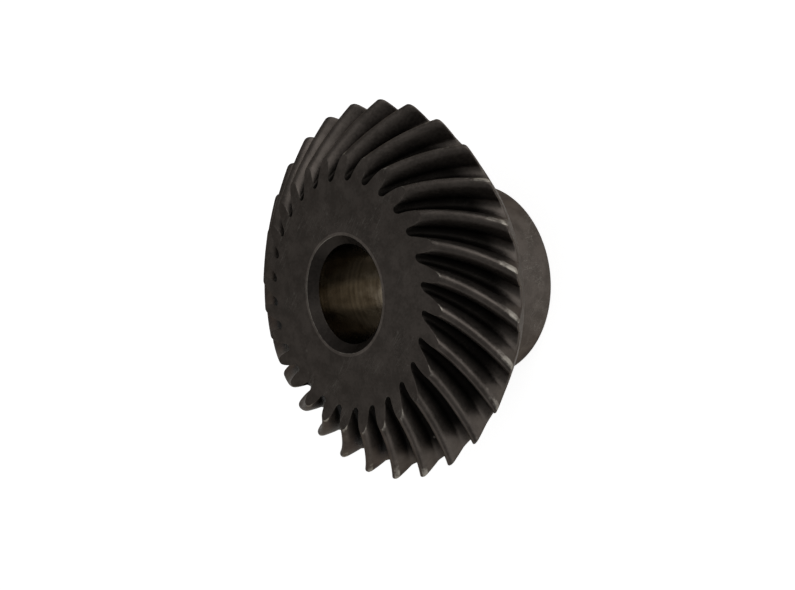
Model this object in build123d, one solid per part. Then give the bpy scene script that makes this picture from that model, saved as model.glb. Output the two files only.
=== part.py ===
from build123d import *
import math
import os

# Spiral bevel gear cut from one piece of steel: right-hand teeth on a cone, a flat front face
# that meets the toe of the teeth, a hub behind, and a plain bore chamfered at both ends.
# The gear stands on the end of its hub, axis along +Z, with the front face up.
# Sizes are in millimetres and degrees. The teeth are laid out from the cone apex, the point of
# the axis where the pitch, face and root cones meet. The finished gear is raised onto Z = 0.

# Tooth system
teeth = 28
mate_teeth = 22
module_at_heel = 2.0
pressure_angle = 20.0
spiral_angle = 31.5
cutter_radius = 33.0
depth_in_modules = 1.75
top_land = 1.08
root_rise = 0.5

# Blank
front_to_crown = 6.0
back_angle = 34.5
back_length = 7.0
overall_length = 29.0
hub_diameter = 32.0
hub_edge = 0.3

# Bore
bore_diameter = 15.0
front_chamfer = 1.3
rear_chamfer = 1.0

# Cones of the pair, with the gear addendum of the usual long and short addendum system
pitch_cone = math.atan2(teeth, mate_teeth)
sine = math.sin(pitch_cone)
cosine = math.cos(pitch_cone)
pitch_radius = module_at_heel * teeth / 2
cone_distance = pitch_radius / sine
fixed_addendum = 0.46
shared_addendum = 0.39
addendum = module_at_heel * (fixed_addendum + shared_addendum * (mate_teeth / teeth) ** 2)
dedendum = module_at_heel * depth_in_modules - addendum
face_cone = pitch_cone + math.atan2(addendum, cone_distance)

# Levels on the axis, with the apex at zero
crown_radius = pitch_radius + addendum * cosine
crown_level = addendum * sine - cone_distance * cosine
front_level = crown_level + front_to_crown
rear_level = front_level - overall_length
toe_radius = crown_radius - front_to_crown * math.tan(face_cone)
middle_distance = cone_distance * (1 + toe_radius / crown_radius) / 2

# Virtual spur gear on the back cone, which gives the tooth its involute profile
virtual_radius = pitch_radius / cosine
half_pitch = math.pi * module_at_heel / 2 / virtual_radius
spiral = math.radians(spiral_angle)
transverse = math.atan(math.tan(math.radians(pressure_angle)) / math.cos(spiral))
base_radius = virtual_radius * math.cos(transverse)

# The space cutter runs past the blank at both ends and above the crown
end_overrun = 2.0
top_overrun = 0.7
stations = 5

# Distance from the apex to where the root leaves through the front face
front_root = -front_level / (cosine + sine * dedendum / cone_distance)


def blank():
    """The turned gear before its teeth are cut."""
    bore_radius = bore_diameter / 2
    hub_radius = hub_diameter / 2
    back_in = math.sin(math.radians(back_angle))
    back_down = math.cos(math.radians(back_angle))
    rim_level = crown_level - back_length * back_down
    outline = Polyline(
        (bore_radius, front_level - front_chamfer),
        (bore_radius + front_chamfer, front_level),
        (toe_radius, front_level),
        (crown_radius, crown_level),
        (crown_radius - back_length * back_in, rim_level),
        (hub_radius, rim_level),
        (hub_radius, rear_level + hub_edge),
        (hub_radius - hub_edge, rear_level),
        (bore_radius + rear_chamfer, rear_level),
        (bore_radius, rear_level + rear_chamfer),
        close=True,
    )
    return revolve(Plane.XZ * make_face(outline), Axis.Z)


def involute(radius):
    """Involute function at a radius of the virtual gear."""
    angle = math.acos(min(1.0, base_radius / radius))
    return math.tan(angle) - angle


def flank(share, height):
    """Point on the flank of the space, where the section has a share of its size at the heel.

    The top land keeps one width from toe to heel, and the rest of the tooth follows from it.
    """
    crown = virtual_radius + addendum
    radius = virtual_radius + height
    half_tooth = top_land / share / crown / 2 + involute(crown) - involute(radius)
    half_space = half_pitch - half_tooth
    across = radius * math.sin(half_space)
    up = radius * math.cos(half_space) - virtual_radius
    return (across * share, up * share)


def space_section(share):
    """Tooth space across the pitch cone, open above the crown, with a shallow V at the root."""
    tip = flank(share, addendum + top_overrun)
    middle = flank(share, 0)
    low = flank(share, root_rise - dedendum)
    right = ThreePointArc(tip, middle, low)
    root = Line(low, (0, -dedendum * share))
    lid = Line(tip, (-tip[0], tip[1]))
    return make_face([right, root, mirror(root, Plane.YZ), mirror(right, Plane.YZ), lid])


def swing(distance):
    """Turn of the lengthwise curve, an arc of the cutter radius, on the unrolled pitch cone."""
    lean = 2 * middle_distance * cutter_radius * math.sin(spiral)
    offset = math.sqrt(middle_distance**2 + cutter_radius**2 - lean)
    return math.acos((distance**2 + offset**2 - cutter_radius**2) / (2 * distance * offset))


def space_cutter():
    """Solid of one tooth space, lofted from before the toe to past the heel."""
    first = front_root - end_overrun
    last = cone_distance + end_overrun
    sections = []
    for i in range(stations):
        distance = first + (last - first) * i / (stations - 1)
        across = Plane(
            origin=(distance * sine, 0, -distance * cosine),
            x_dir=(0, 1, 0),
            z_dir=(sine, 0, -cosine),
        )
        turn = math.degrees(swing(distance) - swing(cone_distance)) / sine
        section = across * space_section(distance / cone_distance)
        sections.append(Rot(0, 0, turn) * section)
    return loft(sections)


cutter = space_cutter()
spaces = [Rot(0, 0, 360 * i / teeth) * cutter for i in range(teeth)]
gear = Pos(0, 0, -rear_level) * (blank() - spaces)

os.makedirs("parts", exist_ok=True)
export_step(gear, "parts/bevel_gear.step")
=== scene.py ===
import bmesh
import bpy
import math
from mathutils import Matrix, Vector


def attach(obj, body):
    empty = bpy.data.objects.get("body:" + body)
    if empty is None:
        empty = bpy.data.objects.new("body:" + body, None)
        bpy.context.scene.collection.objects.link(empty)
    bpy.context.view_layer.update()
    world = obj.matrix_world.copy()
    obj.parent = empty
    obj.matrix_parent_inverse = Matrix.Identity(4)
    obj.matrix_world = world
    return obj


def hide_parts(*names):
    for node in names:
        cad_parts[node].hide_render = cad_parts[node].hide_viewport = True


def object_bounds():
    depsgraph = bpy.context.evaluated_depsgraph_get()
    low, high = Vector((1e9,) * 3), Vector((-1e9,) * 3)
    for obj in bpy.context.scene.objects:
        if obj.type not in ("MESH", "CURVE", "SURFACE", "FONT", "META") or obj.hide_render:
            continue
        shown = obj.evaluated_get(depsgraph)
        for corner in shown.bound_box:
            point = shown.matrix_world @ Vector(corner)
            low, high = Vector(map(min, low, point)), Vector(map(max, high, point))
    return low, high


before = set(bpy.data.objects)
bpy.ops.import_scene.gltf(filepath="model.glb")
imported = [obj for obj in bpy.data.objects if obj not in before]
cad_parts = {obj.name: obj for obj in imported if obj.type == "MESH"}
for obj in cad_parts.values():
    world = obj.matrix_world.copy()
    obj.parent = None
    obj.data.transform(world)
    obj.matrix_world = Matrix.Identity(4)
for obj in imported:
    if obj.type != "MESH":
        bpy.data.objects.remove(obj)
cad_low, cad_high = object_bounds()

# Toothed body. The real gear is one piece of steel: turned to a cone with a hub behind it, then
# cut with spiral teeth by a ring of blades, and blackened. One tooth space with half a tooth on
# each side is modelled here, from the land of one tooth to the land of the next.
mm = 0.001
teeth = 28
mate_teeth = 22
heel_module = 2.0 * mm
pressure_angle = math.radians(20.0)
spiral_angle = math.radians(31.5)
cutter_radius = 33.0 * mm
tooth_depth = 1.75 * heel_module
fixed_addendum = 0.46
shared_addendum = 0.39
top_land = 1.08 * mm
root_rise = 0.5 * mm
front_to_crown = 6.0 * mm
back_angle = math.radians(34.5)

pitch_cone = math.atan2(teeth, mate_teeth)
sine = math.sin(pitch_cone)
cosine = math.cos(pitch_cone)
pitch_radius = heel_module * teeth / 2
cone_distance = pitch_radius / sine
addendum = heel_module * (fixed_addendum + shared_addendum * (mate_teeth / teeth) ** 2)
dedendum = tooth_depth - addendum
face_cone = pitch_cone + math.atan2(addendum, cone_distance)
crown_radius = pitch_radius + addendum * cosine
crown_level = addendum * sine - cone_distance * cosine
front_level = crown_level + front_to_crown
apex = Vector((0, 0, cad_high.z - front_level))
toe_radius = crown_radius - front_to_crown * math.tan(face_cone)
middle_distance = cone_distance * (1 + toe_radius / crown_radius) / 2
virtual_radius = pitch_radius / cosine
half_pitch_arc = math.pi * heel_module / 2 / virtual_radius
transverse = math.atan(math.tan(pressure_angle) / math.cos(spiral_angle))
base_radius = virtual_radius * math.cos(transverse)
back_slope = math.tan(back_angle)
back_reach = crown_radius - crown_level * back_slope
half_sector = math.pi / teeth

land_round = 0.48 * mm
flank_round = 0.70 * mm
heel_round = 0.42 * mm
crowning = 0.18 * mm
root_steps = 5
flank_steps = 8
round_steps = 6
land_steps = 2
middle = root_steps + flank_steps + round_steps + land_steps
length_steps = 22
heel_steps = 5
edge_rounds = 4
share_rounds = 5
toe_share = 0.7


def involute(radius):
    """Involute function at a radius of the virtual gear on the back cone."""
    angle = math.acos(min(1.0, base_radius / radius))
    return math.tan(angle) - angle


def flank(share, height):
    """Half width and height of the space where the cone is a share of its size at the heel."""
    crown = virtual_radius + addendum
    radius = virtual_radius + height
    half_tooth = top_land / share / crown / 2 + involute(crown) - involute(radius)
    half_space = half_pitch_arc - half_tooth
    up = radius * math.cos(half_space) - virtual_radius
    return radius * math.sin(half_space) * share, up * share


def cone_point(share, across, up):
    """Radius, angle and level of a point of the section, measured from the apex."""
    x = cone_distance * share * sine + up * cosine
    level = up * sine - cone_distance * share * cosine
    return math.hypot(x, across), math.atan2(across, x), level


def half_space_points(share):
    """From the middle of the root up the flank and over its rounded edge to mid-land."""
    root = dedendum * share
    low_across, low_up = flank(share, root_rise - dedendum)
    drop = low_up + root
    bend = (low_across**2 + drop**2) / (2 * drop)
    sweep = math.asin(low_across / bend)
    points = []
    for i in range(root_steps):
        a = sweep * i / root_steps
        points.append(cone_point(share, bend * math.sin(a), bend - bend * math.cos(a) - root))
    edge = addendum
    for _ in range(edge_rounds):
        radius, angle, level = cone_point(share, *flank(share, edge))
        edge -= (radius + level * math.tan(face_cone)) * math.cos(face_cone) / share
    start = edge - flank_round / share
    for i in range(flank_steps + 1):
        height = root_rise - dedendum + (start - root_rise + dedendum) * i / flank_steps
        points.append(cone_point(share, *flank(share, height)))
    leave = points[-1]
    corner = cone_point(share, *flank(share, edge))
    meet = (corner[0], corner[1] + land_round / corner[0], corner[2])
    for i in range(1, round_steps + 1):
        t = i / round_steps
        parts = zip(leave, corner, meet)
        points.append(tuple((1 - t) ** 2 * a + 2 * t * (1 - t) * b + t * t * c for a, b, c in parts))
    for i in range(1, land_steps + 1):
        points.append((meet[0], meet[1] + (half_sector - meet[1]) * i / land_steps, meet[2]))
    return points


def swing(distance):
    """Turn of the lengthwise curve, an arc of the cutter's radius, on the unrolled pitch cone."""
    lean = 2 * middle_distance * cutter_radius * math.sin(spiral_angle)
    offset = math.sqrt(middle_distance**2 + cutter_radius**2 - lean)
    return math.acos((distance**2 + offset**2 - cutter_radius**2) / (2 * distance * offset))


def spiral_turn(distance):
    """Turn round the gear's axis at a distance from the apex, counted from the heel."""
    return (swing(distance) - swing(cone_distance)) / sine


def front_share(index):
    """Share of the cone at which a line of the space leaves through the front face."""
    share = toe_share
    for _ in range(share_rounds):
        share *= front_level / half_space_points(share)[index][2]
    return share


def heel_share(index):
    """Share of the cone at which a line of the space leaves through the back cone."""
    share = 1.0
    for _ in range(share_rounds):
        radius, angle, level = half_space_points(share)[index]
        share *= back_reach / (radius - level * back_slope)
    return share


ends = [(front_share(i), heel_share(i)) for i in range(middle + 1)]


def cut_point(place, along):
    """Point of the cut surface: place counts across from land to land, along runs toe to heel."""
    side = 1 if place > middle else -1
    index = abs(place - middle)
    first, last = ends[index]
    share = first + (last - first) * along
    radius, angle, level = half_space_points(share)[index]
    up_flank = (index - root_steps) / (flank_steps + round_steps)
    if side > 0 and 0 < up_flank < 1:
        angle -= crowning * 4 * up_flank * (1 - up_flank) / radius
    turn = side * angle + spiral_turn(cone_distance * share)
    return Vector((radius * math.cos(turn), radius * math.sin(turn), level)) + apex


def tooth_point(place, along, nudge=0.01):
    """Point of the cut surface, which turns over onto the back cone in a small round."""
    spot = cut_point(place, along)
    ahead = spot - cut_point(place, along - nudge)
    reach = heel_round - (1 - along) * ahead.length / nudge
    if reach <= 0:
        return spot
    before = spot - cut_point(max(0, place - 1), along)
    after = cut_point(min(2 * middle, place + 1), along) - spot
    across = before + after
    if 0 < place < 2 * middle:
        across = before.normalized() * after.length + after.normalized() * before.length
    outward = ahead.cross(across).normalized()
    angle = math.atan2(spot.y, spot.x)
    flat = Vector((math.cos(angle), math.sin(angle), 0)) * math.cos(back_angle)
    back_normal = flat - Vector((0, 0, math.sin(back_angle)))
    inward = (outward.project(back_normal) - outward).normalized()
    return spot + inward * (heel_round - math.sqrt(heel_round**2 - reach**2))


tooth_length = (cut_point(middle, 1.0) - cut_point(middle, 0.0)).length
heel_starts = 1 - heel_round / tooth_length
stops = [heel_starts * i / length_steps for i in range(1, length_steps + 1)]
for i in range(1, heel_steps + 1):
    stops.append(1 - (1 - heel_starts) * (1 - math.sin(math.pi / 2 * i / heel_steps)))

sector = bmesh.new()
place_layer = sector.verts.layers.int.new("place")
cut_layer = sector.verts.layers.int.new("cut")
height_layer = sector.verts.layers.float.new("height")
painted_lightness_layer = sector.verts.layers.float.new("painted_lightness")
wear_and_highlight_layer = sector.verts.layers.float.new("wear_and_highlight")


def extrude_row(edges):
    """Draws a row of edges out by one more row and returns the new edges."""
    made = bmesh.ops.extrude_edge_only(sector, edges=edges)["geom"]
    fresh = {v for v in made if isinstance(v, bmesh.types.BMVert)}
    return [e for e in sector.edges if e.verts[0] in fresh and e.verts[1] in fresh]


def row_verts(edges):
    """Points of a row in their order across it."""
    return sorted({v for e in edges for v in e.verts}, key=lambda v: v[place_layer])


# Wear with a painted highlight on one side of the land, strongest towards its toe and heel ends.
mid_land_wear_and_highlight = 0.3
least_wear_and_highlight = 0.15
toe_wear_and_highlight_ends = 0.07
heel_wear_and_highlight_starts = 0.72
# How the painted shade at the bottom of a tooth space lifts towards the toe and the heel.
toe_painted_light = 0.2
toe_painted_light_ends = 0.16
heel_painted_light_starts = 0.68


def mark(vert, along):
    """Notes how high up the tooth a point is, how far it is out of the painted shade at the bottom of
    the space, and its wear with a painted highlight: most on one side of the land, and there at the
    toe and towards the heel."""
    index = abs(vert[place_layer] - middle)
    vert[cut_layer] = 1
    height = min(1.0, max(0.0, (index - root_steps / 2) / (root_steps / 2 + flank_steps)))
    vert[height_layer] = height
    from_heel = (along - heel_painted_light_starts) / (1 - heel_painted_light_starts)
    from_toe = toe_painted_light * (1 - along / toe_painted_light_ends)
    vert[painted_lightness_layer] = height + (1 - height) * max(0.0, from_heel, from_toe)
    # Wear and painted highlight go on one side of the land only.
    worn_and_highlit_side = index > root_steps + flank_steps and vert[place_layer] < middle
    across = mid_land_wear_and_highlight if index == middle else float(worn_and_highlit_side)
    heel_wear_and_highlight = (along - heel_wear_and_highlight_starts) / (1 - heel_wear_and_highlight_starts)
    ends_wear_and_highlight = max(0.0, 1 - along / toe_wear_and_highlight_ends, heel_wear_and_highlight)
    vert[wear_and_highlight_layer] = across * (least_wear_and_highlight + (1 - least_wear_and_highlight) * ends_wear_and_highlight)


front_row = []
for place in range(2 * middle + 1):
    vert = sector.verts.new(tooth_point(place, 0.0))
    vert[place_layer] = place
    mark(vert, 0.0)
    front_row.append(vert)
edges = [sector.edges.new(pair) for pair in zip(front_row, front_row[1:])]
for stop in stops:
    edges = extrude_row(edges)
    for vert in row_verts(edges):
        vert.co = tooth_point(vert[place_layer], stop)
        mark(vert, stop)

# Back of the gear, turned on a lathe: the back cone carries on below the teeth to a flat shoulder,
# and the hub's plain side runs from there to its end, which has a small turned edge.
back_length = 7.0 * mm
hub_radius = 16.0 * mm
hub_edge = 0.3 * mm
hub_rows = 4
shoulder_radius = crown_radius - back_length * math.sin(back_angle)
shoulder_level = cad_high.z - front_level + crown_level - back_length * math.cos(back_angle)


def turned_row(edges, radius, level):
    """Draws a row out onto a circle round the axis, each point at its own angle."""
    edges = extrude_row(edges)
    for vert in row_verts(edges):
        angle = math.atan2(vert.co.y, vert.co.x)
        vert.co = Vector((radius * math.cos(angle), radius * math.sin(angle), level))
        vert[cut_layer] = 0
        vert[height_layer] = 1.0
        vert[painted_lightness_layer] = 1.0
        vert[wear_and_highlight_layer] = 0.0
    return edges


edges = turned_row(edges, shoulder_radius, shoulder_level)
edges = turned_row(edges, (shoulder_radius + hub_radius) / 2, shoulder_level)
edges = turned_row(edges, hub_radius, shoulder_level)
for step in range(1, hub_rows + 1):
    level = shoulder_level + (hub_edge - shoulder_level) * (step / hub_rows)
    edges = turned_row(edges, hub_radius, level)
edges = turned_row(edges, hub_radius - hub_edge, 0.0)
rear_row = row_verts(edges)

# Front face and bore. The steel is faced flat in one cut across the toe of the teeth, then bored
# through and chamfered at both ends. The chamfers are painted darker, a painted shade, and a narrow
# ring round the front chamfer is painted lighter, a painted highlight.
face_ring = 15.8 * mm
inner_ring = 2.0 * mm
rim_width = 0.45 * mm
bore_radius = 7.5 * mm
front_chamfer = 1.3 * mm
rear_chamfer = 1.0 * mm
bore_steps = 6
bore_rows = 12
mouth_radius = bore_radius + front_chamfer
bore_top = cad_high.z - front_chamfer
front_turn = spiral_turn(cone_distance * ends[0][0])
ring = []
for i in range(bore_steps + 1):
    angle = front_turn + half_sector * (2 * i / bore_steps - 1)
    spot = Vector((face_ring * math.cos(angle), face_ring * math.sin(angle), cad_high.z))
    vert = sector.verts.new(spot)
    vert[place_layer] = i
    ring.append(vert)
edges = [sector.edges.new(pair) for pair in zip(ring, ring[1:])]
sector.faces.new(front_row + ring[::-1])
edges = turned_row(edges, mouth_radius + inner_ring, cad_high.z)
edges = turned_row(edges, mouth_radius + rim_width, cad_high.z)
edges = turned_row(edges, mouth_radius, cad_high.z)
edges = turned_row(edges, bore_radius, bore_top)
for step in range(1, bore_rows + 1):
    level = bore_top + (rear_chamfer - bore_top) * step / bore_rows
    edges = turned_row(edges, bore_radius, level)
edges = turned_row(edges, bore_radius + rear_chamfer, 0.0)
bore_row = row_verts(edges)
heel_turn = math.atan2(rear_row[middle].co.y, rear_row[middle].co.x)
for i, vert in enumerate(bore_row):
    angle = heel_turn + half_sector * (2 * i / bore_steps - 1)
    radius = vert.co.xy.length
    vert.co = Vector((radius * math.cos(angle), radius * math.sin(angle), 0.0))
sector.faces.new(rear_row + bore_row[::-1])

# Whole gear. The sector is repeated round the axis and joined, and its edges are softened as
# tumbling and handling soften them. It has three finishes: the cut teeth, the turned faces, and
# the wall of the bore.
teeth_finish, turned_finish, bore_finish = 0, 1, 2
weld_distance = 0.005 * mm
edge_round = 0.17 * mm
edge_segments = 3
edge_wear = 0.3
rim_wear_and_highlight = 0.9
# Painted shade of the chamfers and painted highlight of the ring round the front chamfer.
chamfer_painted_shade = 0.40
rim_painted_highlight = 1.8
sharp_from = math.radians(24.0)
flat_weight = 60
for face in sector.faces:
    if all(vert[cut_layer] for vert in face.verts):
        face.material_index = teeth_finish
    elif face.calc_center_median().xy.length < bore_radius:
        face.material_index = bore_finish
    else:
        face.material_index = turned_finish
bmesh.ops.spin(
    sector,
    geom=sector.verts[:] + sector.edges[:] + sector.faces[:],
    cent=(0, 0, 0),
    axis=(0, 0, 1),
    angle=2 * math.pi * (teeth - 1) / teeth,
    steps=teeth - 1,
    use_duplicate=True,
)
bmesh.ops.remove_doubles(sector, verts=sector.verts[:], dist=weld_distance)
bmesh.ops.recalc_face_normals(sector, faces=sector.faces[:])
edge_layer = sector.loops.layers.float.new("edge")
painted_tone_layer = sector.loops.layers.float.new("tone")
# Painted shade on the chamfers of the bore, and a painted highlight on a narrow ring round the front
# one.
for face in sector.faces:
    past_chamfer = face.calc_center_median().xy.length - mouth_radius
    for loop in face.loops:
        if past_chamfer < 0:
            loop[painted_tone_layer] = chamfer_painted_shade
        else:
            loop[painted_tone_layer] = rim_painted_highlight if past_chamfer < rim_width else 1.0
softened = bmesh.ops.bevel(
    sector,
    geom=[e for e in sector.edges if e.is_convex and e.calc_face_angle() > sharp_from],
    offset=edge_round,
    offset_type="OFFSET",
    affect="EDGES",
    segments=edge_segments,
    profile=0.5,
    material=-1,
    clamp_overlap=True,
)
# Edge wear on every softened edge; on the bore's front rim it is raised to a painted highlight.
for face in softened["faces"]:
    centre = face.calc_center_median()
    on_rim = abs(centre.xy.length - mouth_radius) < 2 * edge_round
    for loop in face.loops:
        loop[edge_layer] = rim_wear_and_highlight if on_rim and centre.z > bore_top else edge_wear
for face in sector.faces:
    face.smooth = True
gear_mesh = bpy.data.meshes.new("gear")
sector.to_mesh(gear_mesh)
sector.free()
gear = bpy.data.objects.new("gear", gear_mesh)
bpy.context.scene.collection.objects.link(gear)
evened = gear.modifiers.new("even_normals", "WEIGHTED_NORMAL")
evened.mode = "FACE_AREA"
evened.weight = flat_weight
evened.keep_sharp = True


# Black oxide is a thin matte film grown on the steel in a hot bath: it is cloudy, has fine specks
# and scratches, and wears through to bright steel on edges and on the lands. The bright steel on
# one side of the lands and on the bore's front rim is also a painted highlight, and the Shade input
# carries painted shade (with a random stain on turned faces). The film is one node group, which
# the teeth and the turned faces share.
oxide_dark = (0.064, 0.055, 0.0485, 1)
oxide_light = (0.092, 0.079, 0.070, 1)
bare_steel_and_highlight = (0.26, 0.24, 0.21, 1)
scratch_tone = (0.20, 0.185, 0.165, 1)
cloud_scale = 380.0
grain_scale = 2600.0
speck_scale = 330.0
worn_patch_scale = 1300.0
worn_area_scale = 140.0
scratched_area_scale = 160.0


def add(tree, kind, values, **settings):
    """Adds a node, sets its options, and fills its inputs with numbers or links."""
    made = tree.nodes.new(kind)
    for name, value in settings.items():
        setattr(made, name, value)
    for name, value in values.items():
        if isinstance(value, bpy.types.NodeSocket):
            tree.links.new(value, made.inputs[name])
        else:
            made.inputs[name].default_value = value
    return made


def calc(tree, operation, first, second=0.0):
    """One step of arithmetic."""
    return add(tree, "ShaderNodeMath", {0: first, 1: second}, operation=operation).outputs[0]


def weigh(tree, first, first_share, second, second_share):
    """Sum of two values, each times its share."""
    parts = calc(tree, "MULTIPLY", first, first_share), calc(tree, "MULTIPLY", second, second_share)
    return calc(tree, "ADD", *parts)


def spread(tree, value, low, high, to_low=0.0, to_high=1.0):
    """Smooth step of a value from a low to a high limit."""
    limits = {"Value": value, "From Min": low, "From Max": high, "To Min": to_low, "To Max": to_high}
    return add(tree, "ShaderNodeMapRange", limits, interpolation_type="SMOOTHSTEP").outputs["Result"]


def blend(tree, share, first, second, mode="MIX"):
    """Mix of two colours."""
    colours = {0: share, 6: first, 7: second}
    return add(tree, "ShaderNodeMix", colours, data_type="RGBA", blend_type=mode).outputs[2]


def noise(tree, position, scale, detail):
    """Soft noise from 0 to 1."""
    values = {"Vector": position, "Scale": scale, "Detail": detail, "Roughness": 0.55}
    return add(tree, "ShaderNodeTexNoise", values).outputs["Fac"]


def streaks(tree, position, turn, size, width):
    """Long thin scratches: contour lines of a noise that is stretched along one direction."""
    places = {"Vector": position, "Rotation": turn, "Scale": size}
    stretched = add(tree, "ShaderNodeMapping", places, vector_type="TEXTURE").outputs["Vector"]
    level = noise(tree, stretched, scale=1.0, detail=2.0)
    away = calc(tree, "ABSOLUTE", calc(tree, "SUBTRACT", level, 0.5))
    return spread(tree, away, low=0.0, high=width, to_low=1.0, to_high=0.0)


oxide = bpy.data.node_groups.new("blackened_steel", "ShaderNodeTree")
oxide.interface.new_socket("Position", in_out="INPUT", socket_type="NodeSocketVector")
for name in ("Wear and Highlight", "Shade", "Scratches"):
    oxide.interface.new_socket(name, in_out="INPUT", socket_type="NodeSocketFloat")
oxide.interface.new_socket("Color", in_out="OUTPUT", socket_type="NodeSocketColor")
for name in ("Roughness", "Height"):
    oxide.interface.new_socket(name, in_out="OUTPUT", socket_type="NodeSocketFloat")
given = oxide.nodes.new("NodeGroupInput").outputs
position = given["Position"]

cloud = noise(oxide, position, cloud_scale, detail=4.0)
grain = noise(oxide, position, grain_scale, detail=3.0)
tone = spread(oxide, weigh(oxide, cloud, 0.62, grain, 0.38), low=0.38, high=0.62)
film = blend(oxide, tone, oxide_dark, oxide_light)
film = blend(oxide, 1.0, film, given["Shade"], "MULTIPLY")

long_lines = streaks(oxide, position, turn=(0.0, 0.0, 0.9), size=(0.011, 0.0007, 0.003), width=0.012)
short_lines = streaks(oxide, position, turn=(0.5, 0.9, 2.2), size=(0.008, 0.0006, 0.0006), width=0.010)
scratched_area = noise(oxide, position, scratched_area_scale, detail=1.0)
scratched_area = spread(oxide, scratched_area, low=0.48, high=0.58)
lines = calc(oxide, "MULTIPLY", calc(oxide, "MAXIMUM", long_lines, short_lines), scratched_area)
lines = calc(oxide, "MULTIPLY", lines, given["Scratches"])

cells = add(oxide, "ShaderNodeTexVoronoi", {"Vector": position, "Scale": speck_scale})
speck = spread(oxide, cells.outputs["Distance"], low=0.05, high=0.11, to_low=1.0, to_high=0.0)
chosen = add(oxide, "ShaderNodeSeparateColor", {"Color": cells.outputs["Color"]}).outputs["Red"]
speck = calc(oxide, "MULTIPLY", speck, spread(oxide, chosen, low=0.72, high=0.78))

worn_patch = noise(oxide, position, worn_patch_scale, detail=3.0)
worn_area = noise(oxide, position, worn_area_scale, detail=1.0)
worn_area = spread(oxide, worn_area, low=0.35, high=0.65, to_low=0.2, to_high=1.0)
wear_and_highlight_share = calc(oxide, "MULTIPLY", given["Wear and Highlight"], worn_area)
bare_and_highlight = calc(oxide, "ADD", calc(oxide, "MULTIPLY", wear_and_highlight_share, 0.6), worn_patch)
bare_and_highlight = spread(oxide, bare_and_highlight, low=0.60, high=1.10)
only_where_wear_and_highlight = calc(oxide, "MINIMUM", calc(oxide, "MULTIPLY", wear_and_highlight_share, 3.0), 1.0)
bare_and_highlight = calc(oxide, "MULTIPLY", bare_and_highlight, only_where_wear_and_highlight)

# Bare steel where worn; on the lands and the bore's front rim this is also a painted highlight.
colour = blend(oxide, bare_and_highlight, film, bare_steel_and_highlight)
colour = blend(oxide, calc(oxide, "MULTIPLY", lines, 0.5), colour, scratch_tone)
colour = blend(oxide, calc(oxide, "MULTIPLY", speck, 0.35), colour, scratch_tone)
rough = spread(oxide, grain, low=0.3, high=0.7, to_low=0.36, to_high=0.50)
rough = calc(oxide, "SUBTRACT", rough, calc(oxide, "MULTIPLY", bare_and_highlight, 0.08))
relief = weigh(oxide, grain, 0.5, cloud, 0.8)
relief = calc(oxide, "SUBTRACT", relief, calc(oxide, "MULTIPLY", lines, 0.25))
relief = calc(oxide, "SUBTRACT", relief, calc(oxide, "MULTIPLY", speck, 0.5))
taken = oxide.nodes.new("NodeGroupOutput").inputs
oxide.links.new(colour, taken["Color"])
oxide.links.new(rough, taken["Roughness"])
oxide.links.new(relief, taken["Height"])

# Teeth and turned faces. On the teeth the cutter leaves fine lines along the flanks, and the bottom
# of a space is painted in shade. Turned faces have the rings of the lathe tool.
oxide_edge_tint = (0.30, 0.28, 0.25, 1)
oxide_metallic = 0.85
oxide_relief = 0.02 * mm
tooth_scratches = 0.08
cutter_waves = 70.0
cutter_depth = 0.03
ring_pitch = 0.3 * mm
ring_depth = 0.35
stain_scale = 90.0


def tool_marks(tree, position, pitch):
    """Rings that a turning tool leaves, on faces across the axis and on walls along it alike."""
    parts = add(tree, "ShaderNodeSeparateXYZ", {"Vector": position}).outputs
    flat = add(tree, "ShaderNodeCombineXYZ", {"X": parts["X"], "Y": parts["Y"]}).outputs["Vector"]
    radius = add(tree, "ShaderNodeVectorMath", {0: flat}, operation="LENGTH").outputs["Value"]
    travel = calc(tree, "ADD", radius, parts["Z"])
    along_travel = add(tree, "ShaderNodeCombineXYZ", {"X": travel}).outputs["Vector"]
    return noise(tree, along_travel, 1 / pitch, detail=2.0)


def begin(name):
    """New material with its shader and the object's own coordinates."""
    made = bpy.data.materials.new(name)
    made.use_nodes = True
    tree = made.node_tree
    place = add(tree, "ShaderNodeTexCoord", {}).outputs["Object"]
    return made, tree, tree.nodes["Principled BSDF"], place


def own_value(tree, name):
    """Value that the mesh itself carries."""
    return add(tree, "ShaderNodeAttribute", {}, attribute_name=name).outputs["Fac"]


def emboss(tree, shader, height, depth):
    """Raises the surface by a height from 0 to 1."""
    bump = add(tree, "ShaderNodeBump", {"Height": height, "Strength": 1.0, "Distance": depth})
    tree.links.new(bump.outputs["Normal"], shader.inputs["Normal"])


def finish_oxide(tree, shader, place, wear_and_highlight, shade, scratches, marks):
    """Feeds the black oxide and one kind of machining mark into a shader."""
    values = {"Position": place, "Wear and Highlight": wear_and_highlight, "Shade": shade, "Scratches": scratches}
    film = add(tree, "ShaderNodeGroup", values, node_tree=oxide).outputs
    tree.links.new(film["Color"], shader.inputs["Base Color"])
    tree.links.new(film["Roughness"], shader.inputs["Roughness"])
    emboss(tree, shader, calc(tree, "ADD", film["Height"], marks), oxide_relief)
    shader.inputs["Metallic"].default_value = oxide_metallic
    shader.inputs["Specular Tint"].default_value = oxide_edge_tint


teeth_material, tree, shader, place = begin("blackened_teeth")
wear_and_highlight = calc(tree, "MAXIMUM", own_value(tree, "wear_and_highlight"), own_value(tree, "edge"))
# Painted shade: the film is darkened at the bottom of each tooth space.
shade = spread(tree, own_value(tree, "painted_lightness"), low=0.12, high=0.92, to_low=0.07, to_high=1.0)
cutter_lines = calc(tree, "MULTIPLY", own_value(tree, "height"), cutter_waves)
cutter_lines = calc(tree, "MULTIPLY", calc(tree, "SINE", cutter_lines), cutter_depth)
finish_oxide(tree, shader, place, wear_and_highlight, shade, tooth_scratches, cutter_lines)

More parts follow.
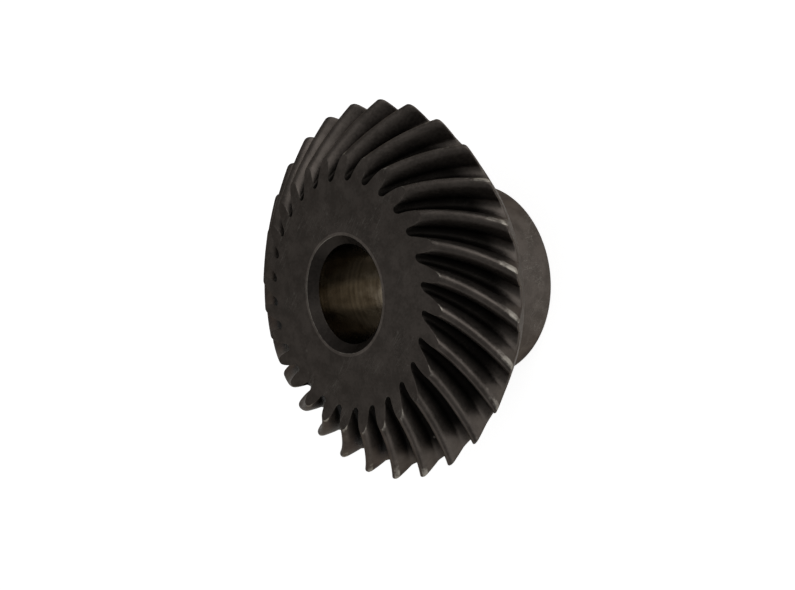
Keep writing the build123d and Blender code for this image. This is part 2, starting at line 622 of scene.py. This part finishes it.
turned_material, tree, shader, place = begin("blackened_turned")
stain = noise(tree, place, stain_scale, detail=2.0)
shade = spread(tree, stain, low=0.3, high=0.7, to_low=1.0, to_high=1.15)
# The chamfers' painted shade and the front ring's painted highlight scale the film.
shade = calc(tree, "MULTIPLY", shade, own_value(tree, "tone"))
scratches = spread(tree, own_value(tree, "tone"), low=chamfer_painted_shade, high=1.0)
rings = calc(tree, "MULTIPLY", tool_marks(tree, place, ring_pitch), ring_depth)
finish_oxide(tree, shader, place, own_value(tree, "edge"), shade, scratches, rings)

# Wall of the bore: bare steel with the marks of the boring tool round it. It is painted darker on
# two opposite sides round the wall, a painted shade, and a few bright scuffs are painted glints.
bore_painted_shade = (0.085, 0.075, 0.060, 1)
bore_dark = (0.13, 0.108, 0.080, 1)
bore_light = (0.36, 0.315, 0.250, 1)
scuff_glint_tone = (0.85, 0.81, 0.72, 1)
bore_ring_pitch = 0.5 * mm
scuff_glint_pitch = 0.16 * mm
bore_stain_scale = 420.0
bore_relief = 0.008 * mm
shade_clears_from = -0.70
shade_clear_at = 0.50
shade_turn = 0.46
shade_wander = 0.5
bore_material, tree, shader, place = begin("bare_bore")
rings = tool_marks(tree, place, bore_ring_pitch)
stain = noise(tree, place, bore_stain_scale, detail=4.0)
wall_tone = spread(tree, weigh(tree, stain, 0.55, rings, 0.5), low=0.30, high=0.75)
parts = add(tree, "ShaderNodeSeparateXYZ", {"Vector": place}).outputs
# Painted shade: by the angle round the axis, two opposite sides of the wall take the dark tone.
round_bore = calc(tree, "ARCTAN2", parts["Y"], parts["X"])
wander = calc(tree, "MULTIPLY", noise(tree, place, scale=130.0, detail=2.0), shade_wander)
wander = calc(tree, "SUBTRACT", wander, shade_turn)
two_sides = calc(tree, "MULTIPLY", calc(tree, "ADD", round_bore, wander), 2.0)
clear_of_painted_shade = spread(tree, calc(tree, "COSINE", two_sides), shade_clears_from, shade_clear_at)
wall = blend(tree, wall_tone, bore_dark, bore_light)
wall = blend(tree, clear_of_painted_shade, bore_painted_shade, wall)
# Painted glints: short, nearly white arcs along the boring marks.
scuff_glints = spread(tree, tool_marks(tree, place, scuff_glint_pitch), low=0.62, high=0.70)
scuff_glint_area = spread(tree, noise(tree, place, scale=210.0, detail=1.0), low=0.60, high=0.68)
scuff_glints = calc(tree, "MULTIPLY", scuff_glints, scuff_glint_area)
tree.links.new(blend(tree, scuff_glints, wall, scuff_glint_tone), shader.inputs["Base Color"])
rough = spread(tree, stain, low=0.3, high=0.7, to_low=0.13, to_high=0.24)
tree.links.new(rough, shader.inputs["Roughness"])
emboss(tree, shader, calc(tree, "ADD", rings, calc(tree, "MULTIPLY", stain, 0.4)), bore_relief)
shader.inputs["Metallic"].default_value = 1.0

for finish in (teeth_material, turned_material, bore_material):
    gear.data.materials.append(finish)
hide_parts("bevel_gear")
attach(gear, "root")

# Studio. A white table under soft overcast light, and two large soft lamps, one to the side of the
# teeth and a weaker one across from it. The table looks white to the camera and in reflections.
floor_size = 3.0
table_tone = (0.65, 0.65, 0.65, 1)
table_glow = 0.8
table_roughness = 0.9
sky_light = 0.29
floor_mesh = bpy.data.meshes.new("floor")
table = bmesh.new()
bmesh.ops.create_grid(table, x_segments=1, y_segments=1, size=floor_size)
table.to_mesh(floor_mesh)
table.free()
floor = bpy.data.objects.new("floor", floor_mesh)
bpy.context.scene.collection.objects.link(floor)
white = bpy.data.materials.new("white_table")
white.use_nodes = True
tree = white.node_tree
paint = tree.nodes["Principled BSDF"].inputs
paint["Base Color"].default_value = table_tone
paint["Roughness"].default_value = table_roughness
paint["Specular IOR Level"].default_value = 0.0
paint["Emission Color"].default_value = (1, 1, 1, 1)
seen = tree.nodes.new("ShaderNodeLightPath").outputs
looked_at = calc(tree, "MAXIMUM", seen["Is Camera Ray"], seen["Is Glossy Ray"])
looked_at = calc(tree, "MAXIMUM", looked_at, seen["Is Transmission Ray"])
tree.links.new(calc(tree, "MULTIPLY", looked_at, table_glow), paint["Emission Strength"])
floor.data.materials.append(white)

world = bpy.data.worlds.new("studio")
world.use_nodes = True
sky = world.node_tree.nodes["Background"].inputs
sky["Color"].default_value = (1, 1, 1, 1)
sky["Strength"].default_value = sky_light
bpy.context.scene.world = world


def soft_lamp(name, aim, direction, distance, size, power):
    """Round soft lamp that looks at a point from a direction."""
    lamp = bpy.data.lights.new(name, "AREA")
    lamp.shape = "DISK"
    lamp.size = size
    lamp.energy = power
    holder = bpy.data.objects.new(name, lamp)
    way = Vector(direction).normalized()
    holder.location = Vector(aim) + way * distance
    holder.rotation_euler = way.to_track_quat("Z", "Y").to_euler()
    bpy.context.scene.collection.objects.link(holder)


centre = (cad_low + cad_high) / 2
soft_lamp("side_box", centre, direction=(0.70, 0.62, 0.35), distance=0.9, size=1.0, power=4.2)
soft_lamp("fill_box", centre, direction=(-0.60, -0.75, 0.25), distance=0.9, size=1.0, power=1.4)

# Camera, at the photograph's angle. The photograph has the axis of the gear level, so the
# camera is rolled on its side.
camera_place = Vector((109.652, 11.924, 117.908)) * mm
camera_turn = (-7.1392, 47.483, -2.9442)
camera_data = bpy.data.cameras.new("camera")
camera_data.sensor_fit = "HORIZONTAL"
camera_data.sensor_width = 36.0
camera_data.lens = 43.2745
camera_data.clip_start = 0.005
camera = bpy.data.objects.new("camera", camera_data)
camera.location = camera_place
camera.rotation_euler = [math.radians(a) for a in camera_turn]
bpy.context.scene.collection.objects.link(camera)
bpy.context.scene.camera = camera
bpy.context.scene.view_settings.view_transform = "Standard"
